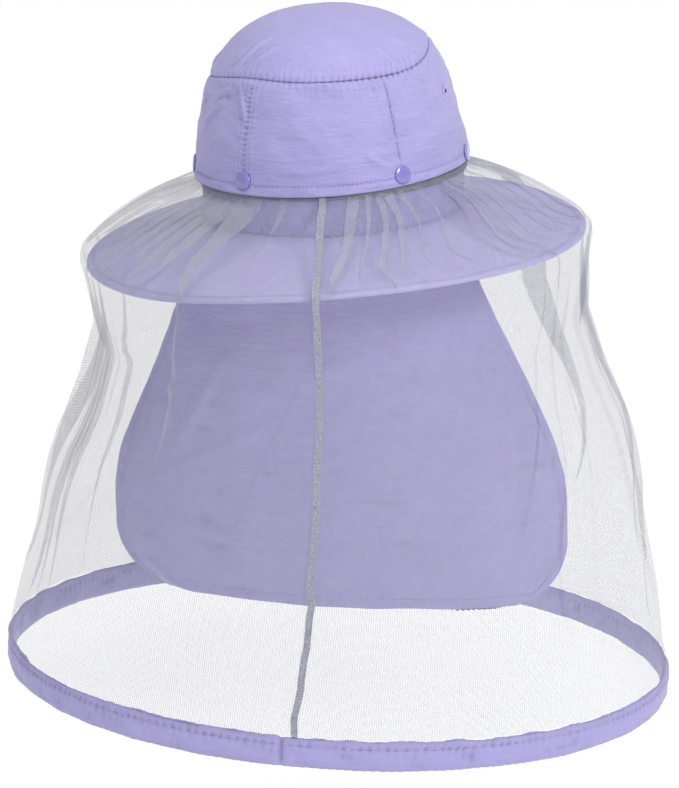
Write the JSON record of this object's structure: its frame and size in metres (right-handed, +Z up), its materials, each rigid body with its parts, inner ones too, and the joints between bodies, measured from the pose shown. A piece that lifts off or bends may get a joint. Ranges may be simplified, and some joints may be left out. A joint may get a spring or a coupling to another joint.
{
  "type": "beekeeping veil",
  "caption": "Brimmed fabric hat with a see-through net veil falling from under a snap-closed crown cover to an elastic hem, with a neck flap inside.",
  "frame": {"origin": "centre of the head opening, in the plane of the seam between crown and brim", "axes": "+Z up out of the crown; the wearer faces +Y; +X is the wearer's right"},
  "size_m": [0.4678, 0.3894, 0.4927],
  "materials": {
    "lavender_fabric": "crinkled matt nylon",
    "pale_lining": "smooth woven lining",
    "net_mesh": "fine see-through hexagonal net",
    "grey_thread": "serged thread",
    "lavender_thread": "satin stitched thread",
    "snap_plastic": "glossy",
    "elastic": "woven elastic"
  },
  "bodies": {
    "hat": {"cover_top_panel": "lavender_fabric", "cover_back_panel": "lavender_fabric", "cover_front_panel": "lavender_fabric", "cover_left_panel": "lavender_fabric", "cover_right_panel": "lavender_fabric", "inner_back_panel": "lavender_fabric", "inner_front_panel": "lavender_fabric", "inner_left_panel": "lavender_fabric", "inner_right_panel": "lavender_fabric", "brim_upper_back": "lavender_fabric", "brim_upper_front": "lavender_fabric", "brim_lower_back": "lavender_fabric", "brim_lower_front": "lavender_fabric", "inner_crown_top": "pale_lining", "sweatband": "pale_lining", "brim_interlining_back": "pale_lining", "brim_interlining_front": "pale_lining", "snap_studs": "snap_plastic", "snap_rivets": "snap_plastic", "vent_eyelets": "lavender_thread", "net_yoke": "net_mesh", "net_skirt": "net_mesh", "net_top_binding": "grey_thread", "net_back_seam_upper": "grey_thread", "net_back_seam_lower": "grey_thread"},
    "snap_1": {"snap_cap_1": "snap_plastic", "snap_socket_1": "snap_plastic"},
    "snap_2": {"snap_cap_2": "snap_plastic", "snap_socket_2": "snap_plastic"},
    "snap_3": {"snap_cap_3": "snap_plastic", "snap_socket_3": "snap_plastic"},
    "snap_4": {"snap_cap_4": "snap_plastic", "snap_socket_4": "snap_plastic"},
    "snap_5": {"snap_cap_5": "snap_plastic", "snap_socket_5": "snap_plastic"},
    "snap_6": {"snap_cap_6": "snap_plastic", "snap_socket_6": "snap_plastic"},
    "flap": {"neck_flap": "lavender_fabric"},
    "veil_hem": {"hem_casing": "lavender_fabric", "hem_elastic": "elastic"}
  },
  "joints": [
    {"name": "snap_1_pull", "type": "slide", "parent": "hat", "child": "snap_1", "axis": [-0.5971, -0.7904, 0.1366], "range_m": [0, 0.006], "deforming": ["cover_back_panel", "cover_left_panel"]},
    {"name": "snap_2_pull", "type": "slide", "parent": "hat", "child": "snap_2", "axis": [0.5971, -0.7904, 0.1366], "range_m": [0, 0.006], "deforming": ["cover_back_panel", "cover_right_panel"]},
    {"name": "snap_3_pull", "type": "slide", "parent": "hat", "child": "snap_3", "axis": [0.9786, -0.1541, 0.1366], "range_m": [0, 0.006], "deforming": ["cover_right_panel"]},
    {"name": "snap_4_pull", "type": "slide", "parent": "hat", "child": "snap_4", "axis": [0.5971, 0.7904, 0.1366], "range_m": [0, 0.006], "deforming": ["cover_right_panel", "cover_front_panel"]},
    {"name": "snap_5_pull", "type": "slide", "parent": "hat", "child": "snap_5", "axis": [-0.5971, 0.7904, 0.1366], "range_m": [0, 0.006], "deforming": ["cover_front_panel", "cover_left_panel"]},
    {"name": "snap_6_pull", "type": "slide", "parent": "hat", "child": "snap_6", "axis": [-0.9786, -0.1541, 0.1366], "range_m": [0, 0.006], "deforming": ["cover_left_panel"]},
    {"name": "flap_swing", "type": "hinge", "parent": "hat", "child": "flap", "pos_m": [0, -0.095, -0.0048], "axis": [1, 0, 0], "range_deg": [-10, 0]},
    {"name": "veil_lift", "type": "slide", "parent": "hat", "child": "veil_hem", "axis": [0, 0, 1], "range_m": [0, 0.15], "deforming": ["net_skirt", "net_back_seam_lower"]}
  ]
}
